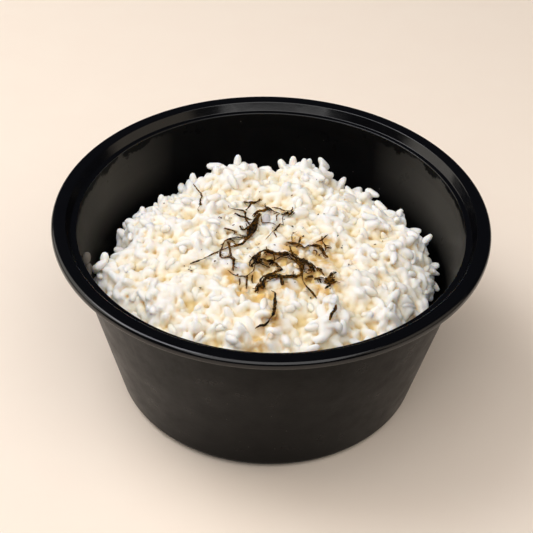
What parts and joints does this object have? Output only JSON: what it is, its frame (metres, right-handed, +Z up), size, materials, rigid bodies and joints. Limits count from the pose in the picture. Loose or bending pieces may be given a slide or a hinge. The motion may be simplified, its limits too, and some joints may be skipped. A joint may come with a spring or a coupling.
{
  "type": "bowl of sticky rice",
  "caption": "Round black takeaway bowl with a rolled rim and a lid ledge, heaped with clumped sticky rice and topped with shreds of dried nori.",
  "frame": {"origin": "centre of the bowl's base, on the surface that it stands on", "axes": "+Z up along the bowl's axis, -Y towards the viewer of the picture, +X to the viewer's right"},
  "size_m": [0.16, 0.16, 0.074],
  "materials": {
    "bowl_plastic": "black injection-moulded polypropylene, satin gloss",
    "cooked_rice": "moist cooked short-grain rice, soft sheen",
    "dried_nori": "dry roasted seaweed shreds, matte to satin"
  },
  "bodies": {
    "root": {"bowl": "bowl_plastic", "rice": "cooked_rice", "nori_back_tangle": "dried_nori", "nori_front_tangle": "dried_nori", "nori_right_twig": "dried_nori", "nori_left_shred": "dried_nori", "nori_tail_shred": "dried_nori", "nori_front_shred": "dried_nori", "nori_slant_shred": "dried_nori", "nori_short_shred": "dried_nori"}
  },
  "joints": []
}
